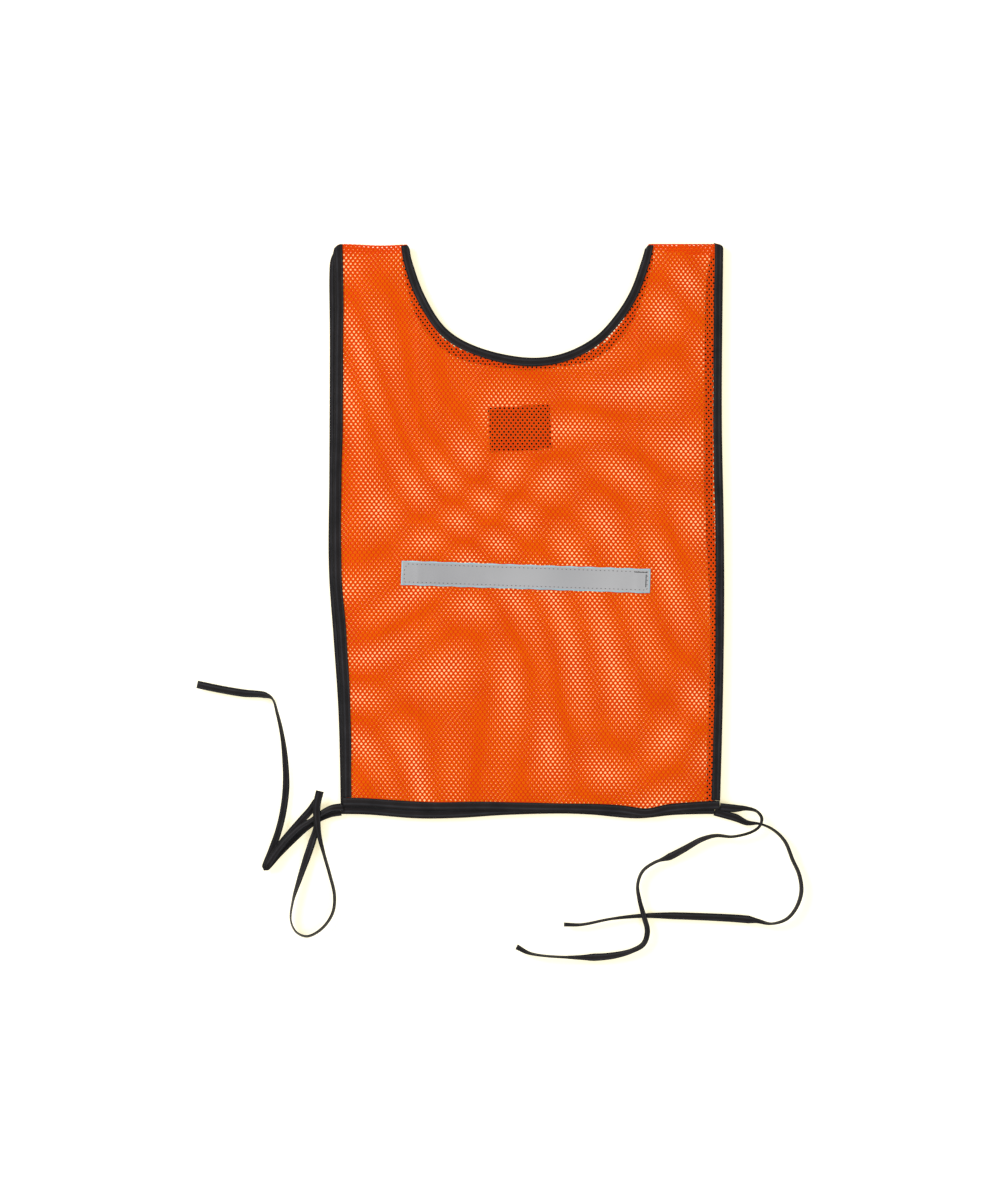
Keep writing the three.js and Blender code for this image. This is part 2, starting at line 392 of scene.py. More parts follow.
def knit_distance(tree):
    """Distance from the middle of the nearest hole, as a share of the knit's pitch."""
    knit = add_node(tree, "Attribute")
    knit.attribute_name = "knit"
    split = add_node(tree, "SeparateXYZ")
    tree.links.new(knit.outputs["Vector"], split.inputs["Vector"])
    squares = []
    for shift in (0, 1):
        across = calculate(tree, "ADD", split.outputs["X"], shift * hole_pitch / 2)
        across = calculate(tree, "PINGPONG", across, hole_pitch / 2)
        down = calculate(tree, "ADD", split.outputs["Y"], shift * hole_row)
        down = calculate(tree, "PINGPONG", down, hole_row)
        across = calculate(tree, "POWER", across, 2)
        down = calculate(tree, "POWER", down, 2)
        squares.append(calculate(tree, "ADD", across, down))
    distance = calculate(tree, "SQRT", calculate(tree, "MINIMUM", *squares))
    return calculate(tree, "DIVIDE", distance, hole_pitch)


def mesh_material(name, rim, strand, knot, glow, strength):
    """Fluorescent knitted polyester, with a glow of its own: painted light that stands for its
    fluorescence.

    Its colour holds painted light and shade: the yarn is brightest round its holes, painted light
    where light would shine through it, and deepest where the strands cross, painted shade."""
    material, tree, bsdf = shader(name)
    distance = knit_distance(tree)
    # Painted light round the holes and painted shade where the strands cross
    yarn = ramp(tree, distance, [(0.24, rim), (0.32, strand), (0.46, knot)])
    tone = ramp(tree, noise(tree, 26), [(0.32, (0.93, 0.75, 1)), (0.68, (1, 1.2, 1))])
    product = add_node(tree, "VectorMath")
    product.operation = "MULTIPLY"
    tree.links.new(yarn, product.inputs[0])
    tree.links.new(tone, product.inputs[1])
    tree.links.new(product.outputs["Vector"], bsdf.inputs["Base Color"])
    # Painted light: the glow lights the yarn whatever the lamps do
    bsdf.inputs["Emission Color"].default_value = (*glow, 1)
    bsdf.inputs["Emission Strength"].default_value = strength
    bsdf.inputs["Roughness"].default_value = 0.62
    bsdf.inputs["Specular IOR Level"].default_value = 0.06
    bsdf.inputs["Sheen Weight"].default_value = 0.1
    bsdf.inputs["Sheen Roughness"].default_value = 0.4
    bsdf.inputs["Sheen Tint"].default_value = (1, 0.3, 0.02, 1)
    fibres = calculate(tree, "MULTIPLY", weave(tree, 0.55 * mm, 35), 0.2)
    bump(tree, bsdf, calculate(tree, "ADD", distance, fibres), 0.5 * mm)
    return material


def tape_material():
    """Folded polyester tape: near black, with paler lines painted where its folds catch the light."""
    material, tree, bsdf = shader("binding_tape")
    across = add_node(tree, "Attribute")
    across.attribute_name = "across"
    wander = calculate(tree, "MULTIPLY", noise(tree, 9, 2), 0.3)
    place = calculate(tree, "ADD", across.outputs["Fac"], calculate(tree, "SUBTRACT", wander, 0.15))
    black = (0.002, 0.0018, 0.002)
    brown = (0.0085, 0.0062, 0.0065)
    # grey is a painted highlight along the tape's folds
    grey = (0.023, 0.023, 0.0265)
    lines = [(0.0, black), (0.16, brown), (0.34, grey), (0.44, brown), (0.7, brown), (0.86, grey),
             (0.95, black)]
    folds = ramp(tree, place, lines)
    worn = ramp(tree, noise(tree, 60, 4), [(0.3, (0.55, 0.55, 0.58)), (0.72, (1.35, 1.35, 1.35))])
    product = add_node(tree, "VectorMath")
    product.operation = "MULTIPLY"
    tree.links.new(folds, product.inputs[0])
    tree.links.new(worn, product.inputs[1])
    tree.links.new(product.outputs["Vector"], bsdf.inputs["Base Color"])
    bsdf.inputs["Roughness"].default_value = 0.5
    bsdf.inputs["Specular IOR Level"].default_value = 0.16
    bsdf.inputs["Sheen Weight"].default_value = 0.04
    bsdf.inputs["Sheen Roughness"].default_value = 0.5
    bump(tree, bsdf, weave(tree, 0.8 * mm, 45), 0.12 * mm)
    return material


def reflective_material():
    """Silver tape: beads under a satin face, in a faint sweep of light and dark grey."""
    material, tree, bsdf = shader("reflective_tape")
    greys = [(0.35, (0.36, 0.36, 0.37)), (0.65, (0.50, 0.50, 0.505))]
    colour = ramp(tree, noise(tree, 9, 1, (1, 0.2, 1)), greys)
    tree.links.new(colour, bsdf.inputs["Base Color"])
    bsdf.inputs["Roughness"].default_value = 0.42
    bsdf.inputs["Metallic"].default_value = 0.25
    bump(tree, bsdf, noise(tree, 2500, 1), 0.05 * mm, 0.6)
    return material


def plain_cloth(name, dark, light, scale, roughness):
    material, tree, bsdf = shader(name)
    colour = ramp(tree, noise(tree, scale, 3), [(0.3, dark), (0.7, light)])
    tree.links.new(colour, bsdf.inputs["Base Color"])
    bsdf.inputs["Roughness"].default_value = roughness
    bsdf.inputs["Specular IOR Level"].default_value = 0.15
    bump(tree, bsdf, weave(tree, 0.6 * mm, 0), 0.08 * mm)
    return material


front_mesh_look = mesh_material("front_mesh", (0.70, 0.12, 0.0), (0.61, 0.036, 0.0),
                                (0.52, 0.008, 0.0), (1.0, 0.15, 0.0), 0.20)
# The back is painted yellower and given twice the front's glow: painted light that keeps it bright in
# the front's shade
back_mesh_look = mesh_material("back_mesh", (0.70, 0.14, 0.0), (0.62, 0.06, 0.0),
                               (0.54, 0.02, 0.0), (1.0, 0.28, 0.0), 0.40)
# The seam layer is painted redder than the other layers: painted shade under the front's top edge,
# lifted by a painted glow
seam_mesh_look = mesh_material("seam_mesh", (0.64, 0.018, 0.0), (0.60, 0.012, 0.0),
                               (0.52, 0.007, 0.0), (1.0, 0.05, 0.0), 0.32)
tape_look = tape_material()
reflective_look = reflective_material()
cut_edge_look = plain_cloth("tape_cut_edge", (0.30, 0.50, 0.58), (0.42, 0.62, 0.70), 120, 0.6)
label_look = plain_cloth("woven_label", (0.004, 0.004, 0.005), (0.010, 0.010, 0.012), 200, 0.45)
dark_thread_look = plain_cloth("dark_thread", (0.05, 0.052, 0.055), (0.12, 0.122, 0.128), 800, 0.6)
black_thread_look = plain_cloth("black_thread", (0.012, 0.012, 0.013), (0.04, 0.04, 0.043), 800, 0.6)


# ---------------------------------------------------------------- camera and cords


def add_camera():
    data = bpy.data.cameras.new("camera")
    data.lens = camera_lens
    data.sensor_width = camera_sensor
    camera = bpy.data.objects.new("camera", data)
    camera.location = (*view_centre, view_height * camera_lens / camera_sensor)
    bpy.context.collection.objects.link(camera)
    bpy.context.scene.camera = camera


def tie_start(name):
    """Where a tie leaves the end of its hem, and the front hem's corner on that side."""
    end = 0 if "left" in name else 1
    hem_box = front_hem_box if name.startswith("front") else back_hem_box
    middle = (hem_box[0] + hem_box[1]) / 2
    return np.array([hem_box[end].x, middle.y, middle.z]), front_hem_box[end].x, front_hem_box[0].y


def across_path(path):
    """Level unit vectors across a path, which keep their side through a fold."""
    tangents = along(path)
    across = []
    last = np.zeros(3)
    for tangent in tangents:
        level = np.array([-tangent[1], tangent[0], 0])
        if np.linalg.norm(level) > 0.5:
            last = unit(level) * (-1 if last @ level < 0 else 1)
        across.append(last)
    return tangents, np.array(across)


def add_tie(name):
    start, corner_x, corner_y = tie_start(name)
    route = [start - (0, 0, binding_thickness / 2 - rest)]
    route += [(corner_x + x * mm, corner_y + y * mm, z) for x, y, z in tie_routes[name]]
    path = curve_through(route, tie_steps)
    places, seen, rise = np.array(tie_turns[name]).T
    index = np.linspace(-1, len(route) - 2, len(path))
    seen = np.interp(index, places, seen) * mm
    rise = np.interp(index, places, rise) * mm
    path[:, 2] += (rise - 2 * rest) / 2 + (rest - tie_thickness / 2)
    path[:, 2] = np.maximum(path[:, 2], rise / 2)
    tangents, across = across_path(path)
    up = np.cross(tangents, across)
    wide = across * (seen - tie_thickness / 2)[:, None] + up * (rise - tie_thickness / 2)[:, None]
    thick = unit(np.cross(tangents, wide)) * tie_thickness / 2
    section = np.array(tape_section)
    rings = path[:, None] + wide[:, None] / 2 * section[:, :1] + thick[:, None] * section[:, 1:]
    faces = ring_faces(len(rings), len(section))
    piece = add_mesh(name + "_tape", rings.reshape(-1, 3), faces, tape_look)
    mark_across(piece, np.broadcast_to((1 + section[:, 0]) / 2, rings.shape[:2]))
    body = name.split("_")[0]
    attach(piece, body)
    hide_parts(name)


add_camera()
for tie in tie_routes:
    add_tie(tie)


# ---------------------------------------------------------------- how the layers lie


def metres(points):
    return np.array(points, float) * mm


def rounded(line):
    return curve_through(metres(line), 8)


edges = {
    "front": [rounded(line) for line in (front_left, front_right, front_hem)],
    "back": [rounded(line) for line in (back_left, back_right, back_hem)],
}
necks = {"front": rounded(front_neck), "back": rounded(back_neck)}

ripple_cells = (40, 60)
ripple_frames = 24
ripple_growth = 0.004  # how much larger the cloth is than the room its edges leave it
ripple_share = 0.45  # how much of the simulated height is kept
ripple_limit = 2.2 * mm
ripple_bending = 10


def simulated_ripples():
    """Heights of a cloth held by its edges and a little too large for them, fallen on a floor."""
    across, down = ripple_cells
    low = front_hem_box[0]
    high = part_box("front_panel")[1]
    xs = np.linspace(low.x, high.x, across + 1)
    ys = np.linspace(low.y, high.y, down + 1)
    grid_x, grid_y = np.meshgrid(xs, ys)
    random = np.random.default_rng(7)
    lift = 1 * mm + 0.4 * mm * random.random(grid_x.shape)
    points = np.stack([grid_x, grid_y, lift], axis=-1).reshape(-1, 3)
    cell = np.arange(len(points)).reshape(grid_x.shape)
    corners = (cell[:-1, :-1], cell[:-1, 1:], cell[1:, 1:], cell[1:, :-1])
    faces = np.stack(corners, axis=-1).reshape(-1, 4)
    cloth = add_mesh("ripple_cloth", points, faces, tape_look)
    held = cloth.vertex_groups.new(name="held")
    rim = np.concatenate([cell[0], cell[-1], cell[:, 0], cell[:, -1]])
    held.add([int(i) for i in np.unique(rim)], 1.0, "REPLACE")
    floor = add_mesh("ripple_floor", [(-1, -1, 0), (1, -1, 0), (1, 1, 0), (-1, 1, 0)],
                     [(0, 1, 2, 3)], tape_look)
    floor.modifiers.new("collision", "COLLISION")
    floor.collision.thickness_outer = 1 * mm
    modifier = cloth.modifiers.new("cloth", "CLOTH")
    settings = modifier.settings
    settings.quality = 5
    settings.mass = 0.05
    settings.tension_stiffness = 20
    settings.compression_stiffness = 20
    settings.shear_stiffness = 5
    settings.bending_stiffness = ripple_bending
    settings.shrink_min = -ripple_growth
    settings.vertex_group_mass = "held"
    modifier.collision_settings.distance_min = 0.5 * mm
    modifier.point_cache.frame_start = 1
    modifier.point_cache.frame_end = ripple_frames
    for step in range(1, ripple_frames + 1):
        bpy.context.scene.frame_set(step)
    evaluated = cloth.evaluated_get(bpy.context.evaluated_depsgraph_get())
    heights = np.array([v.co.z for v in evaluated.data.vertices]).reshape(grid_x.shape)
    bpy.data.objects.remove(cloth)
    bpy.data.objects.remove(floor)
    bpy.context.scene.frame_set(1)
    return xs, ys, heights - heights.min()


ripple_x, ripple_y, ripple_heights = simulated_ripples()
ripple_heights = np.clip(ripple_share * ripple_heights, 0, ripple_limit)
print("ripples up to", round(float(ripple_heights.max()) / mm, 2), "mm, mean",
      round(float(ripple_heights.mean()) / mm, 2), "mm")


def ripple_at(x, y):
    """Height of the simulated cloth at a place, bilinear."""
    i = np.clip((x - ripple_x[0]) / (ripple_x[1] - ripple_x[0]), 0, len(ripple_x) - 1.001)
    j = np.clip((y - ripple_y[0]) / (ripple_y[1] - ripple_y[0]), 0, len(ripple_y) - 1.001)
    left, low = i.astype(int), j.astype(int)
    a, b = i - left, j - low
    lower = mix(ripple_heights[low, left], ripple_heights[low, left + 1], a)
    upper = mix(ripple_heights[low + 1, left], ripple_heights[low + 1, left + 1], a)
    return mix(lower, upper, b)


def bell(distance, width):
    return np.exp(-((distance / width) ** 2))


packing_creases = 0.9 * mm
crease_width = 3 * mm
crease_across = 5.5 * mm
crease_down = (-111 * mm, 115 * mm)


def crease_at(x, y):
    """Ridges left where the vest was folded in its packet."""
    ridge = bell(y - crease_across, crease_width)
    for line in crease_down:
        ridge = np.maximum(ridge, 0.7 * bell(x - line, crease_width))
    return packing_creases * ridge


def inside(layer, x, y, inset):
    """Whether places are on the layer's fabric, inset from its edges."""
    left, right, hem = edges[layer]
    beyond_left = x > np.interp(y, left[:, 1], left[:, 0]) + inset
    beyond_right = x < np.interp(y, right[:, 1], right[:, 0]) - inset
    above_hem = y > np.interp(x, hem[:, 0], hem[:, 1]) + inset
    neck = necks[layer]
    neck = neck - inset * inward(neck)
    beside_neck = (x < neck[0, 0]) | (x > neck[-1, 0])
    outside_neck = beside_neck | (y < np.interp(x, neck[:, 0], neck[:, 1]))
    return beyond_left & beyond_right & above_hem & outside_neck


def neck_sides(layer, y):
    """Where the neckline's left and right sides are at a height, which meet at its lowest point."""
    neck = necks[layer]
    bottom = int(np.argmin(neck[:, 1]))
    left = np.interp(y, neck[bottom::-1, 1], neck[bottom::-1, 0])
    right = np.interp(y, neck[bottom:, 1], neck[bottom:, 0])
    return left, right


def neck_gap(layer, x, y):
    """Distance out from the neckline, from how far it is straight up and how far sideways."""
    neck = necks[layer]
    tiny = 0.01 * mm
    left, right = neck_sides(layer, y)
    sideways = np.maximum(left - x, x - right)
    up = np.interp(x, neck[:, 0], neck[:, 1]) - y
    up = np.where((x < neck[0, 0]) | (x > neck[-1, 0]), 1, up)
    sideways = np.where(y < neck[:, 1].min(), 1, sideways)
    return 1 / np.hypot(1 / np.maximum(up, tiny), 1 / np.maximum(sideways, tiny))


flat_rim = 6 * mm  # the fabric lies flat this far in from its edges
fade_reach = 30 * mm


def edge_fade(layer, x, y):
    """0 under the bindings and 1 well inside the fabric."""
    left, right, hem = edges[layer]
    gaps = [
        x - np.interp(y, left[:, 1], left[:, 0]),
        np.interp(y, right[:, 1], right[:, 0]) - x,
        y - np.interp(x, hem[:, 0], hem[:, 1]),
        neck_gap(layer, x, y),
        fold_y - y,
    ]
    nearest = np.minimum.reduce(gaps)
    share = np.clip((nearest - flat_rim) / fade_reach, 0, 1)
    return share * share * (3 - 2 * share)


def front_lift(x, y):
    """How far the front layer stands above its flat height."""
    fade = edge_fade("front", x, y)
    return fade * ripple_at(x, y) + np.clip(2 * fade, 0, 1) * crease_at(x, y)


# Shoulder corners: where each is, which way its fabric lies, and the radius it is rounded to
shoulder_corners = [
    (-199.5 * mm, 1, 9 * mm),
    (-120.5 * mm, -1, 5 * mm),
    (123.5 * mm, 1, 4.5 * mm),
    (203.5 * mm, -1, 5 * mm),
]
shoulder_sag = 1.6 * mm
sag_middle = -150 * mm
sag_reach = 24 * mm
corner_reach = 30 * mm  # how far below the fold the fabric is drawn in


def fold_drop(x, height_below_fold):
    """How far the fold's rounded corners and sag pull the fabric down there."""
    drop = shoulder_sag * bell(x - sag_middle, sag_reach)
    for corner, side, radius in shoulder_corners:
        short = np.clip(radius - (x - corner) * side, 0, radius)
        short = np.where(np.abs(x - corner) < 2 * radius, short, 0)
        drop = np.maximum(drop, radius - np.sqrt(radius ** 2 - short ** 2))
    share = np.clip(1 - height_below_fold / corner_reach, 0, 1)
    return drop * share ** 2


def lay_front(x, v, height):
    """Front fabric: v runs up the panel, round the shoulder fold and on to the back."""
    beyond = np.clip(v - fold_y, 0, None)
    angle = np.clip(beyond / fold_radius, 0, math.pi)
    past = np.clip(beyond - fold_length, 0, None)
    radius = fold_radius + height
    y = np.minimum(v, fold_y) + np.sin(angle) * radius - past
    y = y - fold_drop(x, np.clip(fold_y - v, 0, None) + past)
    z = fold_z + np.cos(angle) * radius + np.where(v < fold_y, front_lift(x, v), 0)
    return np.stack([x, y, z], axis=-1)


def lay_back(x, y, height):
    y = y - fold_drop(x, np.clip(fold_y - y, 0, None))
    return np.stack([x, y, np.broadcast_to(back_z + height, x.shape)], axis=-1)


# ---------------------------------------------------------------- knitted mesh panels


def hole_lattice(keep, warp, low, high):
    """Sheet of fabric with a six-sided hole in each cell: only the holes' corners are points."""
    across = int((high[0] - low[0]) / hole_pitch) + 8
    rows = int((high[1] - low[1]) / hole_row) + 8
    column, row = np.meshgrid(np.arange(across), np.arange(rows))
    x = low[0] + (column - 4 + 0.5 * (row % 2)) * hole_pitch
    y = low[1] + (row - 4) * hole_row
    angles = np.radians(30 + 60 * np.arange(6))
    hole_x = x[..., None] + hole_radius * np.cos(angles)
    hole_y = y[..., None] + hole_radius * np.sin(angles)
    knit = np.stack([hole_x - low[0], hole_y - low[1], 0 * hole_x], axis=-1).reshape(-1, 3)
    centre_x, centre_y = warp(x, y)
    hole_x, hole_y = warp(hole_x, hole_y)
    kept = keep(centre_x, centre_y)
    corner = np.arange(kept.size * 6).reshape(rows, across, 6)
    j, i = np.nonzero(kept[:-1, 1:-1])
    i = i + 1
    odd = j % 2
    east = (j, i + 1)
    north_east = (j + 1, i + odd)
    north_west = (j + 1, i + odd - 1)
    here = (j, i)

    def faces(cells, *corners):
        ready = np.logical_and.reduce([kept[cell] for cell in cells])
        picked = [corner[cell][ready, k] for cell, k in corners]
        return np.stack(picked, axis=-1)

    quads = np.vstack([
        faces((here, east), (here, 0), (here, 5), (east, 3), (east, 2)),
        faces((here, north_east), (here, 1), (here, 0), (north_east, 4), (north_east, 3)),
        faces((here, north_west), (here, 2), (here, 1), (north_west, 5), (north_west, 4)),
    ])
    triangles = np.vstack([
        faces((here, east, north_east), (here, 0), (east, 2), (north_east, 4)),
        faces((here, north_east, north_west), (here, 1), (north_east, 3), (north_west, 5)),
    ])
    used = np.unique(np.concatenate([quads.ravel(), triangles.ravel()]))
    number = np.full(corner.size, -1)
    number[used] = np.arange(len(used))
    made = [number[quads], number[triangles]]
    return hole_x.ravel()[used], hole_y.ravel()[used], made, knit[used]


def sheet_piece(name, points, face_sets, knit, look):
    """A large mesh, made from whole arrays for speed, with its faces turned up."""
    quads, triangles = face_sets
    loops = np.concatenate([quads.ravel(), triangles.ravel()])
    sizes = np.concatenate([np.full(len(quads), 4), np.full(len(triangles), 3)])
    starts = np.concatenate([[0], np.cumsum(sizes)[:-1]])
    data = bpy.data.meshes.new(name)
    data.vertices.add(len(points))
    data.vertices.foreach_set("co", points.ravel())
    data.loops.add(len(loops))
    data.loops.foreach_set("vertex_index", loops)
    data.polygons.add(len(sizes))
    data.polygons.foreach_set("loop_start", starts)
    data.attributes.new("knit", "FLOAT_VECTOR", "POINT").data.foreach_set("vector", knit.ravel())
    data.update(calc_edges=True)
    data.validate()
    data.shade_smooth()
    data.materials.append(look)
    piece = bpy.data.objects.new(name, data)
    bpy.context.collection.objects.link(piece)
    return piece


def front_warp(x, y):
    """The knit of the front drifts a little from straight."""
    dx = 1.6 * mm * np.sin(9 * x - 14 * y) + 0.8 * mm * np.sin(31 * x + 17 * y - 1)
    dy = 1.2 * mm * np.sin(2 - 12 * x - 8 * y)
    return x + dx, y + dy


def back_warp(x, y):
    """The knit of the back lies turned and stretched against the front's."""
    turned = math.radians(-3.2)
    across = 1.03 * x
    dx = -math.sin(turned) * y + 2.4 * mm * np.sin(17 * x - 11 * y - 2)
    dy = math.sin(turned) * x - 2.0 * mm * np.sin(13 * x + 16 * y)
    return across + dx, y + dy


def panel_area(layer):
    """Flat area of the cut, with its neckline taken out."""
    left, right, hem = edges[layer]
    ys = np.linspace(left[0, 1], top, 600)
    width = np.interp(ys, right[:, 1], right[:, 0]) - np.interp(ys, left[:, 1], left[:, 0])
    neck_left, neck_right = neck_sides(layer, ys)
    width -= neck_right - neck_left
    return float(np.sum((width[1:] + width[:-1]) / 2 * np.diff(ys)))


under_binding = 1.3 * mm  # the cut edge lies this far inside the fold of its tape


def add_front_panel():
    def keep(x, v):
        beyond = v > fold_y
        ends = v < fold_y + fold_length + 2 * mm
        return inside("front", x, np.where(beyond, fold_y, v), under_binding) & ends

    x, v, faces, knit = hole_lattice(keep, front_warp, (-0.205, -0.3), (0.21, 0.305))
    piece = sheet_piece("front_mesh_sheet", lay_front(x, v, 0), faces, knit, front_mesh_look)
    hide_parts("front_panel")
    return piece


def add_back_panel():
    def keep(x, y):
        return inside("back", x, y, under_binding) & (y < fold_y)

    x, y, faces, knit = hole_lattice(keep, back_warp, (-0.23, -0.32), (0.23, 0.32))
    piece = sheet_piece("back_mesh_sheet", lay_back(x, y, 0), faces, knit, back_mesh_look)
    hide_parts("back_panel")
    return piece


def join_at_shoulders(piece):
    """Bakes the piece's place into its points."""
    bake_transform(piece)


back_panel = add_back_panel()
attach(back_panel, "back")
front_panel = add_front_panel()
join_at_shoulders(front_panel)
panel_area("back")
panel_area("front")

# The turned-in shoulder seams make a second layer of mesh under the front's top edge: each is
# its inner and outer end and how far down its edge is there, in mm
shoulder_seams = {
    "left_shoulder_seam": ((-118, 10), (-193, 11)),
    "right_shoulder_seam": ((125, 8), (198, 16)),
}
seam_depth_below = 0.45 * mm


def add_shoulder_seam(name, inner, outer):
    low_x, high_x = sorted((inner[0] * mm, outer[0] * mm))

    def keep(x, v):
        share = (x / mm - inner[0]) / (outer[0] - inner[0])
        edge = top - mix(inner[1], outer[1], share) * mm
        band = (v > edge) & (v < fold_y + fold_length / 2)
        return band & inside("front", x, np.minimum(v, fold_y), under_binding)

    def warp(x, y):
        return x + 1.9 * mm, y + 1.2 * mm + 0.02 * x

    x, v, faces, knit = hole_lattice(keep, warp, (low_x, top - 0.02), (high_x, top + 0.004))
    spots = lay_front(x, v, -seam_depth_below)
    piece = sheet_piece(name + "_cloth", spots, faces, knit, seam_mesh_look)
    join_at_shoulders(piece)
    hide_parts(name)


for seam, (seam_inner, seam_outer) in shoulder_seams.items():
    add_shoulder_seam(seam, seam_inner, seam_outer)


# ---------------------------------------------------------------- bindings

tape_step = 3.2 * mm  # how far apart the points along a tape are
stitch_inset = 7.4 * mm
stitch_pitch = 3.4 * mm
stitch_level = 0.36  # height of the stitches above the layer, as a share of the tape's thickness

# A binding across its width: the distance in from its fold in shares of its width, and the
# height in halves of its thickness. The stitching pulls both faces in near the inner edge.
binding_section = [
    (0.00, 0.0), (0.012, 0.55), (0.05, 0.88), (0.14, 1.0), (0.35, 0.96), (0.6, 0.98),
    (0.74, 0.92), (0.82, 0.72), (0.9, 0.82), (1.0, 0.8), (1.0, 0.45), (0.82, 0.4), (0.1, 0.5),
    (0.1, -0.5), (0.82, -0.4), (1.0, -0.45), (1.0, -0.8), (0.9, -0.82), (0.82, -0.72),
    (0.74, -0.92), (0.6, -0.98), (0.35, -0.96), (0.14, -1.0), (0.05, -0.88), (0.012, -0.55),
]


def evenly(path, gap):
    """A path's points again, about a gap apart."""
    steps = np.concatenate([[0], np.cumsum(np.linalg.norm(np.diff(path, axis=0), axis=1))])
    wanted = np.linspace(0, steps[-1], max(2, int(round(steps[-1] / gap)) + 1))
    return np.stack([np.interp(wanted, steps, path[:, k]) for k in range(path.shape[1])], axis=-1)


def add_binding(name, layer, path, lay):
    """Folded tape on a flat path that has the fabric to its left, and its line of stitches."""
    path = evenly(path, tape_step)
    into = inward(path)
    place = np.linspace(0, len(path) * tape_step, len(path))
    uneven = 1 + 0.02 * np.sin(place * 41) + 0.015 * np.sin(place * 97 + 1)
    section = np.array(binding_section)
    deep = section[:, 0] * binding_width
    spots = path[:, None] + into[:, None] * (deep[None, :] * uneven[:, None])[..., None]
    height = np.broadcast_to(section[:, 1] * binding_thickness / 2, spots.shape[:2])
    rings = lay(spots[..., 0], spots[..., 1], height)
    faces = ring_faces(len(path), len(section))
    piece = add_mesh(name + "_tape", rings.reshape(-1, 3), faces, tape_look)
    mark_across(piece, np.broadcast_to(section[:, 0], rings.shape[:2]))
    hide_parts(name)
    if layer == "back":
        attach(piece, "back")
    else:
        join_at_shoulders(piece)
    return path + into * stitch_inset


def stitch_points(middle, direction, normal, length, width, rise):
    """Corners of one stitch, a small stretched octahedron."""
    side = np.cross(normal, direction)
    return [
        middle - direction * length / 2,
        middle + direction * length / 2,
        middle - side * width / 2,
        middle + side * width / 2,
        middle - normal * rise,
        middle + normal * rise,
    ]


stitch_faces = [(0, 2, 5), (2, 1, 5), (1, 3, 5), (3, 0, 5), (2, 0, 4), (1, 2, 4), (3, 1, 4), (0, 3, 4)]


def add_stitches(name, places, directions, look, body, length, width, rise=0.22 * mm):
    up = np.array([0.0, 0.0, 1.0])
    points = []
    faces = []
    for middle, direction in zip(places, directions):
        first = len(points)
        points += stitch_points(middle, direction, up, length, width, rise)
        faces += [tuple(first + corner for corner in face) for face in stitch_faces]
    piece = add_mesh(name, points, faces, look)
    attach(piece, body)
    return piece


def neck_path(layer, beyond):
    """The neckline from the left shoulder's fold down and up again, and on round the folds."""
    line = necks[layer]
    straight = np.arange(0, beyond + 0.1 * mm, 0.7 * mm)
    left, right = neck_sides(layer, fold_y)
    rise_left = np.stack([np.full(len(straight), left), fold_y + straight[::-1]], axis=-1)
    rise_right = np.stack([np.full(len(straight), right), fold_y + straight], axis=-1)
    body = line[line[:, 1] < fold_y - 1 * mm]
    return np.vstack([rise_left, body, rise_right])


def side_path(layer, side, beyond):
    """A side edge with the fabric to its left: up the right side, down the left."""
    line = edges[layer][0 if side == "left" else 1]
    hem = edges[layer][2]
    start = hem[0 if side == "left" else -1, 1] + binding_width + 0.2 * mm
    kept = line[(line[:, 1] > start + 2 * mm) & (line[:, 1] < fold_y - 2 * mm)]
    low = np.array([[np.interp(start, line[:, 1], line[:, 0]), start]])
    top_x = np.interp(fold_y, line[:, 1], line[:, 0])
    straight = np.arange(0, beyond + 0.1 * mm, 0.7 * mm)
    high = np.stack([np.full(len(straight), top_x), fold_y + straight], axis=-1)
    path = np.vstack([low, kept, high])
    return path[::-1] if side == "left" else path


def add_layer_bindings(layer, lay, beyond):
    """The four bindings of a layer and the stitches that run along them."""
    paths = {
        layer + "_neck_binding": neck_path(layer, beyond)[::-1],
        layer + "_left_side_binding": side_path(layer, "left", beyond),
        layer + "_right_side_binding": side_path(layer, "right", beyond),
        layer + "_hem_binding": edges[layer][2],
    }
    places = []
    directions = []
    for name, path in paths.items():
        line = evenly(add_binding(name, layer, path, lay), stitch_pitch)
        line = line[line[:, 1] < fold_y - 1 * mm]
        height = np.full(len(line), stitch_level * binding_thickness)
        spots = lay(line[:, 0], line[:, 1], height)
        places.append(spots)
        directions.append(along(spots))
    add_stitches(layer + "_binding_stitches", np.vstack(places), np.vstack(directions),
                 black_thread_look, layer, 2.3 * mm, 0.5 * mm)


add_layer_bindings("back", lay_back, 0)
add_layer_bindings("front", lay_front, fold_length)


# ---------------------------------------------------------------- reflective strips and label


def patch_frame(box, degrees, length, height):
    """Middle, the unit vectors along and up, and the halves of a turned rectangle."""
    middle = (box[0] + box[1]) / 2
    turned = math.radians(degrees)
    right = np.array([math.cos(turned), math.sin(turned)])
    up = np.array([-math.sin(turned), math.cos(turned)])
    return np.array([middle.x, middle.y]), right, up, length / 2, height / 2


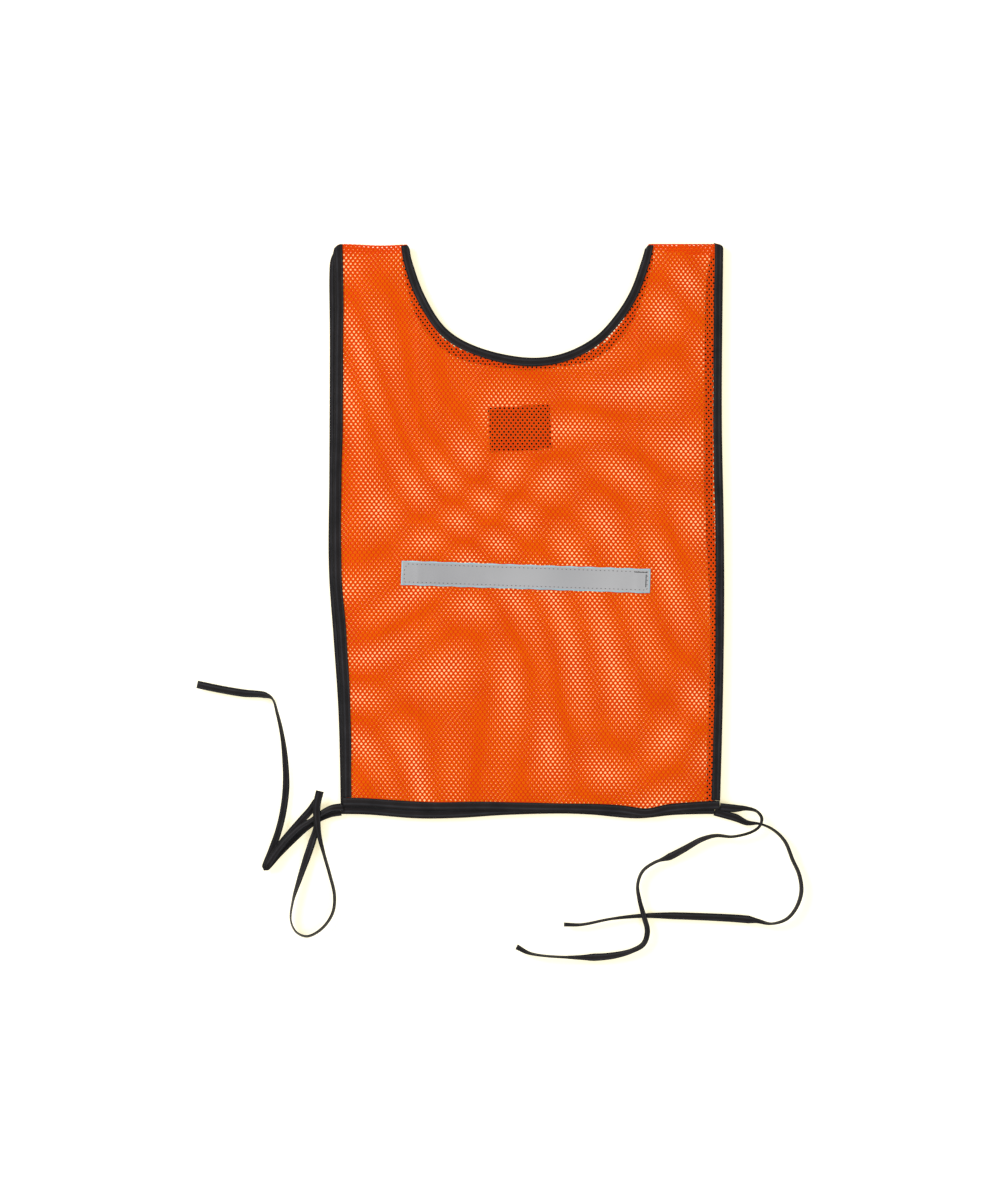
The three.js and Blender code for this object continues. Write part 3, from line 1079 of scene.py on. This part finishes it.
def add_patch(name, place, rim, thickness, lay, looks, cells):
    """A thin piece of cloth with a rim of cut edge, laid on a surface."""
    middle, right, up, half_length, half_height = place
    us = np.unique(np.concatenate([
        np.linspace(-half_length + rim, half_length - rim, cells[0]), [-half_length, half_length]]))
    vs = np.unique(np.concatenate([
        np.linspace(-half_height + rim, half_height - rim, cells[1]), [-half_height, half_height]]))
    grid_u, grid_v = np.meshgrid(us, vs)
    frayed = 0.25 * mm * np.sin(grid_u * 310) * (np.abs(grid_v) > half_height - rim / 2)
    spots = middle + grid_u[..., None] * right + (grid_v + frayed)[..., None] * up
    upper = lay(spots[..., 0], spots[..., 1], thickness).reshape(-1, 3)
    lower = lay(spots[..., 0], spots[..., 1], 0 * thickness).reshape(-1, 3)
    rows, columns = grid_u.shape
    count = rows * columns
    cell = np.arange(count).reshape(rows, columns)
    faces = []
    rim_faces = []
    for j in range(rows - 1):
        for i in range(columns - 1):
            corners = (cell[j, i], cell[j, i + 1], cell[j + 1, i + 1], cell[j + 1, i])
            on_rim = i in (0, columns - 2) or j in (0, rows - 2)
            rim_faces += [on_rim, on_rim]
            faces.append(corners)
            faces.append(tuple(count + corner for corner in reversed(corners)))
    outline = [*cell[0, :-1], *cell[:-1, -1], *cell[-1, :0:-1], *cell[:0:-1, 0]]
    for a, b in zip(outline, outline[1:] + outline[:1]):
        faces.append((b, a, count + a, count + b))
        rim_faces.append(True)
    piece = add_mesh(name, np.vstack([upper, lower]), faces, looks[0])
    piece.data.materials.append(looks[1])
    for polygon, on_rim in zip(piece.data.polygons, rim_faces):
        polygon.material_index = int(on_rim)
    return piece


strip_turn = -1.93
strip_length = 257 * mm
strip_height = 25 * mm
strip_above = 0.45 * mm
strip_thickness = 0.35 * mm
strip_rim = 1.2 * mm
strip_stitch_inset = 3.2 * mm
strip_stitch_pitch = 4.4 * mm
strip_open_corner = 4 * mm
strip_cells = (90, 9)
label_turn = 3
label_length = 64 * mm
label_height = 46 * mm


stitch_search_step = 0.4 * mm


def box_stitches(place, inset, pitch, cut_corner):
    """Places along a rectangle inset in a patch, with the upper left corner cut off."""
    middle, right, up, half_length, half_height = place
    a, b = half_length - inset, half_height - inset
    corners = [(-a + cut_corner, b), (a, b), (a, -b), (-a, -b), (-a, b - cut_corner)]
    line = evenly(np.array(corners + corners[:1]), stitch_search_step)
    line = line[::max(1, int(round(pitch / stitch_search_step)))]
    return middle + line[:, :1] * right + line[:, 1:] * up


def add_front_strip():
    place = patch_frame(strip_box, strip_turn, strip_length, strip_height)

    def lay(x, y, height):
        return lay_front(x, y, 0) + np.array([0, 0, 1]) * (strip_above + height)

    looks = (reflective_look, cut_edge_look)
    piece = add_patch("front_reflective_tape", place, strip_rim, strip_thickness, lay, looks,
                      strip_cells)
    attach(piece, "front")
    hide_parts("front_reflective_strip")
    spots = box_stitches(place, strip_stitch_inset, strip_stitch_pitch, strip_open_corner)
    places = lay(spots[:, 0], spots[:, 1], strip_thickness)
    stitches = add_stitches("front_tape_stitches", places, along(places), dark_thread_look, "front",
                            1.9 * mm, 0.9 * mm)
    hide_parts("front_strip_stitching")
    middle, right, up, half_length, half_height = place
    tack = [(half_length - 4.4 * mm, (6 - 1.3 * i) * mm) for i in range(10)]
    tack += [(half_length - (4 + 1.5 * i) * mm, half_height - 3.6 * mm) for i in range(9)]
    tack = np.array(tack)
    spots = middle + tack[:, :1] * right + tack[:, 1:] * up
    places = lay(spots[:, 0], spots[:, 1], strip_thickness + 0.05 * mm)
    add_stitches("front_tape_backtack", places, along(places), black_thread_look, "front",
                 2.1 * mm, 1.2 * mm)


def add_back_strip():
    """On the outside of the back, which is underneath, with its stitches showing inside."""
    place = patch_frame(strip_box, strip_turn, strip_length, strip_height)

    def lay(x, y, height):
        return lay_back(x, y, -strip_above - strip_thickness + height)

    looks = (reflective_look, cut_edge_look)
    piece = add_patch("back_reflective_tape", place, strip_rim, strip_thickness, lay, looks,
                      strip_cells)
    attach(piece, "back")
    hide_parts("back_reflective_strip")
    spots = box_stitches(place, strip_stitch_inset, strip_stitch_pitch, strip_open_corner)
    places = lay_back(spots[:, 0], spots[:, 1], 0.25 * mm)
    stitches = add_stitches("back_tape_stitches", places, along(places), dark_thread_look, "back",
                            2.4 * mm, 0.6 * mm)
    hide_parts("back_strip_stitching")


def add_label():
    place = patch_frame(label_box, label_turn, label_length, label_height)

    def lay(x, y, height):
        return lay_back(x, y, 0.3 * mm + height)

    looks = (label_look, label_look)
    piece = add_patch("blank_label", place, 1 * mm, 0.25 * mm, lay, looks, (24, 18))
    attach(piece, "back")
    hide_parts("neck_label")
    spots = box_stitches(place, 2 * mm, 3 * mm, 0.4 * mm)
    places = lay(spots[:, 0], spots[:, 1], 0.27 * mm)
    stitches = add_stitches("label_stitches", places, along(places), black_thread_look, "back",
                            2.2 * mm, 0.5 * mm, 0.12 * mm)
    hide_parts("label_stitching")


add_front_strip()
add_back_strip()
add_label()


# ---------------------------------------------------------------- floor and light


def add_floor():
    """Pale floor. Its warm glow is painted light, standing for light bounced off the orange cloth: it
    tints what shows through the holes, and its own shaded parts.
    """
    floor_drop = 4 * mm  # room for the front when it is turned over the shoulders
    reach = 6  # metres
    corners = [(-reach, -reach, 0), (reach, -reach, 0), (reach, reach, 0), (-reach, reach, 0)]
    material, tree, bsdf = shader("pale_floor")
    colour = ramp(tree, noise(tree, 3), [(0.3, (0.86, 0.86, 0.86)), (0.7, (0.88, 0.88, 0.88))])
    tree.links.new(colour, bsdf.inputs["Base Color"])
    bsdf.inputs["Roughness"].default_value = 0.9
    # Painted light: a warm glow from the floor itself
    bsdf.inputs["Emission Color"].default_value = (1, 0.88, 0.45, 1)
    bsdf.inputs["Emission Strength"].default_value = 0.6
    floor = add_mesh("floor", corners, [(0, 1, 2, 3)], material)
    floor.location.z = -floor_drop


def add_area_light(name, place, target, size, power):
    data = bpy.data.lights.new(name, "AREA")
    data.shape = "DISK"
    data.size = size
    data.energy = power
    light = bpy.data.objects.new(name, data)
    light.location = place
    aim = np.array(target) - np.array(place)
    pitch = math.atan2(math.hypot(aim[0], aim[1]), -aim[2])
    light.rotation_euler = (pitch, 0, math.atan2(-aim[0], aim[1]))
    bpy.context.collection.objects.link(light)


def add_world():
    world = bpy.data.worlds.new("studio")
    world.use_nodes = True
    background = world.node_tree.nodes["Background"]
    background.inputs["Color"].default_value = (1, 1, 1, 1)
    background.inputs["Strength"].default_value = 0.60
    bpy.context.scene.world = world


# The default view transform would grey the fluorescent orange
bpy.context.scene.view_settings.view_transform = "Standard"
add_floor()
add_world()
add_area_light("key", (-2.2, 1.2, 1.6), (0, -0.05, 0), 1.6, 66)
add_area_light("fill", (1.8, -1.2, 2.4), (0, -0.05, 0), 1.6, 20)
